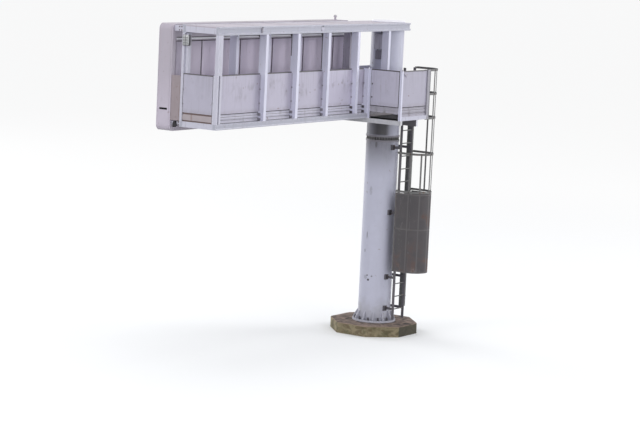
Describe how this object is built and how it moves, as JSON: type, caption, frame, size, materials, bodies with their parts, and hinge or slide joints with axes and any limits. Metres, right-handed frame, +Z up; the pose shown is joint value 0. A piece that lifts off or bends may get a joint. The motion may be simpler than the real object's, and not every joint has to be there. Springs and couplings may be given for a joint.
{
  "type": "overhead sign gantry",
  "caption": "Cantilever sign gantry: round steel column on a plinth, roofed service walkway with panelled sides, sign case on the far side, landing and caged ladder.",
  "frame": {"origin": "on the column axis at ground level, in the plinth's underside", "axes": "+Z up; +X along the walkway from its free left end to the column; +Y towards the side that the sign faces"},
  "size_m": [8.1958, 2.462, 7.375],
  "materials": {
    "painted_steel": "weathered satin",
    "panel_paint": "dirty satin",
    "stained_paint": "rust stained",
    "case_paint": "matt",
    "joint_dark": "matt",
    "galvanised": "dull",
    "dark_mesh": "dull",
    "display": "matt",
    "lamp_housing": "weathered",
    "concrete": "rough, stained"
  },
  "bodies": {
    "root": {"plinth": "concrete", "base_plate": "painted_steel", "base_gussets": "painted_steel", "lower_column": "painted_steel", "joint_flanges": "painted_steel", "joint_sleeve": "joint_dark", "upper_column": "painted_steel", "column_cap": "painted_steel", "column_saddles": "painted_steel", "near_top_beam": "painted_steel", "far_top_beam": "painted_steel", "near_bottom_beam": "painted_steel", "far_bottom_beam": "painted_steel", "top_cross_beams": "painted_steel", "bottom_cross_beams": "painted_steel", "roof_cover": "painted_steel", "floor_deck": "galvanised", "corner_posts": "painted_steel", "uprights": "painted_steel", "guard_panels": "panel_paint", "kick_plates": "stained_paint", "far_guard": "panel_paint", "landing_outriggers": "painted_steel", "landing_edge_beams": "painted_steel", "landing_deck": "galvanised", "landing_posts": "painted_steel", "landing_panels": "panel_paint", "landing_kick_plates": "stained_paint", "ladder_stiles": "galvanised", "ladder_rungs": "galvanised", "ladder_brackets": "galvanised", "ladder_guard": "dark_mesh", "cage_hoops": "galvanised", "cage_straps": "galvanised", "side_duct": "dark_mesh", "case_end_caps": "case_paint", "case_top_and_bottom": "case_paint", "case_doors": "case_paint", "sign_face": "display", "case_hangers": "painted_steel", "gap_panel": "stained_paint", "drip_rail": "painted_steel", "light_sensor": "lamp_housing", "bulkhead_lamp": "lamp_housing", "column_box": "lamp_housing"}
  },
  "joints": []
}
